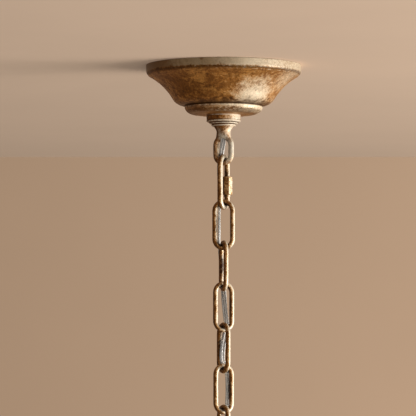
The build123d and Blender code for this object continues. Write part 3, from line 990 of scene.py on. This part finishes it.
def cord_piece(name, line, sections, facing, sleeve, core):
    """Sleeve and stranded conductors along a line, in one object, with a map that runs round and along each."""
    points, faces, kinds, spread, clear = [], [], [], [], []
    eyes = [sum(x for x, _ in section) / len(section) for kind, section in sections if kind]
    for kind, section in sections:
        part = skin(along_line(line, section, facing), capped=False)
        start, count = len(points), len(section)
        points += part[0]
        faces += [tuple(i + start for i in face) for face in part[1]]
        kinds += [kind] * len(part[1])
        for i in range(len(line)):
            spread += [(k / count, i * (line[0] - line[1]).length / MM) for k in range(count)]
            clear += [max(0.0, 1 - max(0.0, min(abs(x - eye) for eye in eyes) - 0.25) / 0.3) for x, _ in section]
    obj = piece(name, (points, faces), [sleeve, core], crease=60)
    obj.data.polygons.foreach_set("material_index", kinds)
    mark = obj.data.attributes.new("clear", "FLOAT", "POINT")
    mark.data.foreach_set("value", clear)
    layer = obj.data.uv_layers.new(name="lay")
    for polygon in obj.data.polygons:
        corners = list(polygon.loop_indices)
        wraps = max(spread[obj.data.loops[c].vertex_index][0] for c in corners) > 0.75
        for c in corners:
            round_way, along_way = spread[obj.data.loops[c].vertex_index]
            layer.data[c].uv = (round_way + (1.0 if wraps and round_way < 0.25 else 0.0), along_way)
    return obj


def circle(radius, count, centre=0.0):
    """The outline of one round core, beside the cord's middle."""
    return [(centre + radius * math.cos(2 * math.pi * k / count), radius * math.sin(2 * math.pi * k / count))
            for k in range(count)]


class MakeCord(bpy.types.Operator):
    """Cord: clear flat twin cord woven from link to link, in lengths split at set heights"""

    bl_idname = "suspension.cord"
    bl_label = "Cord"

    def execute(self, context):
        s = sizes()
        width, thickness = s.cord_width / MM, s.cord_thickness / MM
        sleeve, core = clear_sleeve("clear_sleeve"), stranded_core("stranded_core")
        reach = width / 2 - thickness / 2
        sections = [(0, twin_section(width, thickness)), (1, circle(0.55, 12, reach)), (1, circle(0.55, 12, -reach))]
        line = measured_line("cord_line", CORD_ROUTE)
        stops = [0]
        for split in CORD_SPLITS:
            stops.append(min(range(len(line)), key=lambda i: abs(line[i].z - split * MM)))
        stops.append(len(line) - 1)
        for number, (start, end) in enumerate(zip(stops, stops[1:])):
            part = line[start:end + 1]
            name = "cord_length_" + str(number + 1)
            obj = cord_piece(name + "_twin", part, sections, broad_side, sleeve, core)
            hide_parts(name)
            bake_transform(obj)
        return {"FINISHED"}


class MakeWiring(bpy.types.Operator):
    """Wiring above the tube: the cord's two cores, each turned over into its twist-on cap"""

    bl_idname = "suspension.wiring"
    bl_label = "Wiring"

    def execute(self, context):
        sleeve, core = bpy.data.materials["clear_sleeve"], bpy.data.materials["stranded_core"]
        plastic = cap_plastic("cap_plastic")
        ribs, rib_depth = 12, 0.16
        bend, off_middle = 8.5, 1.3
        cut = bend * math.tan(math.radians(22.5))
        top = TUBE_TOP + 3.5 + bend
        for name, side in (("live", 1), ("neutral", -1)):
            far = off_middle + 2 * bend
            route = ((0, side * off_middle, TUBE_TOP), (0, side * off_middle, top - bend + cut),
                     (0, side * (off_middle + bend - cut), top), (0, side * (far - bend + cut), top),
                     (0, side * far, top - bend + cut), (0, side * far, TUBE_TOP))
            outline = [(3.4, TUBE_TOP - 0.6, 0.2), (3.9, TUBE_TOP, 0.3), (5.3, TUBE_TOP, 0.5),
                       (5.4, TUBE_TOP - 8.4, 0.6), (4.2, TUBE_TOP - 9.2, 0.4), (3.9, TUBE_TOP - 18.6, 1.0),
                       (2.4, TUBE_TOP - 20.0, 0.6),
                       (0.3, TUBE_TOP - 20.0), (0.3, TUBE_TOP - 2.0)]
            shape = turned(softened(outline, 0.3, 0.7), 96)
            ribbed = []
            for x, y, z in shape[0]:
                angle, radius = math.atan2(y, x), math.hypot(x, y)
                if radius > 3.0 and z < TUBE_TOP - 9.0:
                    radius -= rib_depth * (1 + math.cos(ribs * angle))
                ribbed.append((radius * math.cos(angle), side * far + radius * math.sin(angle), z))
            cap = piece("twist_cap_" + name, (ribbed, shape[1]), [plastic])
            place(cap, "ceiling_set", "cap_plastic", "connector_" + name)
            line = measured_line("lead_line_" + name, route)
            sections = [(0, circle(1.2, 14)), (1, circle(0.62, 12))]
            obj = cord_piece("lead_" + name + "_core", line, sections, unturned, sleeve, core)
            place(obj, "ceiling_set", "clear_cord", "lead_" + name)
        return {"FINISHED"}


def showing_rays(n):
    """1 for the camera's rays, and for those that show the stage in metal and in clear plastic."""
    camera = n.make("ShaderNodeLightPath", output="Is Camera Ray")
    outputs = camera.socket.node.outputs
    return camera.larger(Shade(n, outputs["Is Glossy Ray"])).larger(Shade(n, outputs["Is Transmission Ray"]))


def one_sided(name, shade):
    """Stage paint that only the camera and reflections see, and only from its own side, so that it blocks no light."""
    n = Nodes(name)
    behind = n.make("ShaderNodeNewGeometry", output="Backfacing")
    spot = n.make("ShaderNodeTexCoord", output="Object")
    plaster = n.noise(spot, 3.0, 4.0)
    paint = n.mixed(plaster.step(0.3, 0.7) * 0.5, rgba(shade), rgba([v * 0.93 for v in shade]))
    matt = n.make("ShaderNodeBsdfDiffuse", None, {"Color": paint})
    glow = n.make("ShaderNodeEmission", None, {"Color": paint, "Strength": 0.15})
    solid = n.make("ShaderNodeAddShader", None, {0: matt, 1: glow})
    open_air = n.make("ShaderNodeBsdfTransparent")
    seen = showing_rays(n) * (1.0 - behind)
    shown = n.make("ShaderNodeMixShader", None, {0: seen, 1: open_air, 2: solid})
    n.make("ShaderNodeOutputMaterial", None, {"Surface": shown})
    return n.owner


class MakeStage(bpy.types.Operator):
    """Stage: ceiling, wall and floor, soft light from the right, and the camera at the photograph's angle"""

    bl_idname = "suspension.stage"
    bl_label = "Stage"

    def execute(self, context):
        paints = {"stage_wall": one_sided("wall_paint", finishes().wall)}
        paints["stage_ceiling"] = paints["stage_floor"] = one_sided("ceiling_paint", finishes().ceiling)
        planes = {
            "stage_ceiling": ((-4, -6, 0.0002), (-4, 0.98, 0.0002), (4, 0.98, 0.0002), (4, -6, 0.0002)),
            "stage_wall": ((-4, 0.98, 0.0002), (-4, 0.98, -2.4), (4, 0.98, -2.4), (4, 0.98, 0.0002)),
            "stage_floor": ((-4, -6, -2.4), (4, -6, -2.4), (4, 0.98, -2.4), (-4, 0.98, -2.4)),
        }
        for name, corners in planes.items():
            mesh = bpy.data.meshes.new(name)
            mesh.from_pydata(corners, [], [(0, 1, 2, 3)])
            mesh.materials.append(paints[name])
            obj = bpy.data.objects.new(name, mesh)
            context.scene.collection.objects.link(obj)
        world = bpy.data.worlds.new("stage_air")
        context.scene.world = world
        n = Nodes("", world)
        soft = n.make("ShaderNodeBackground", None, {"Color": (1.0, 0.95, 0.88, 1.0), "Strength": 0.1})
        pale = n.make("ShaderNodeBackground", None, {"Color": rgba(finishes().ceiling), "Strength": 0.5})
        air = n.make("ShaderNodeMixShader", None, {0: showing_rays(n), 1: soft, 2: pale})
        n.make("ShaderNodeOutputWorld", None, {"Surface": air})
        for name, spot, aim, width, tall, power, shade in (
            ("key_light", (2.15, -0.25, -0.75), (0, 0, -0.17), 1.4, 1.5, 63.0, (1.0, 0.98, 0.94)),
            ("front_light", (1.0, -2.6, -1.1), (0, 0, -0.15), 1.2, 1.2, 16.0, (1.0, 0.96, 0.9)),
        ):
            lamp = bpy.data.lights.new(name, "AREA")
            lamp.shape = "RECTANGLE"
            lamp.size, lamp.size_y = width, tall
            lamp.energy = power
            lamp.color = shade
            obj = bpy.data.objects.new(name, lamp)
            obj.visible_camera = False
            obj.location = spot
            obj.rotation_euler = (Vector(aim) - Vector(spot)).to_track_quat("-Z", "Y").to_euler()
            context.scene.collection.objects.link(obj)
        camera = bpy.data.cameras.new("camera")
        camera.lens = 451.0
        camera.sensor_width = 36.0
        camera.clip_end = 40.0
        obj = bpy.data.objects.new("camera", camera)
        obj.location = (-0.015, -5.0, -0.543)
        obj.rotation_euler = (math.radians(94.63), 0.0, 0.0)
        context.scene.collection.objects.link(obj)
        context.scene.camera = obj
        context.scene.view_settings.view_transform = "Standard"
        return {"FINISHED"}


class SuspensionPanel(bpy.types.Panel):
    """Sizes, finishes and pieces of the suspension"""

    bl_idname = "VIEW3D_PT_suspension"
    bl_label = "Suspension"
    bl_space_type = "VIEW_3D"
    bl_region_type = "UI"
    bl_category = "Suspension"

    def draw(self, context):
        for group in (sizes(), finishes()):
            for name in group.__annotations__:
                self.layout.prop(group, name)
        for operator in OPERATORS:
            self.layout.operator(operator.bl_idname)


OPERATORS = (MakeStage, MakeCord, MakeWiring, MakeCanopy, MakeSeatingRing, MakeCollarLoop, MakeQuickLink, MakeChain,
             MakeFixtureLoop, MakeCeilingFixing)
CLASSES = (SuspensionSizes, SuspensionFinishes) + OPERATORS + (SuspensionPanel,)


def register():
    for each in CLASSES:
        bpy.utils.register_class(each)
    bpy.types.Scene.suspension_sizes = PointerProperty(type=SuspensionSizes)
    bpy.types.Scene.suspension_finishes = PointerProperty(type=SuspensionFinishes)


def unregister():
    del bpy.types.Scene.suspension_finishes
    del bpy.types.Scene.suspension_sizes
    for each in reversed(CLASSES):
        bpy.utils.unregister_class(each)


def main():
    register()
    for operator in OPERATORS:
        group, name = operator.bl_idname.split(".")
        getattr(getattr(bpy.ops, group), name)()


if __name__ == "__main__":
    main()
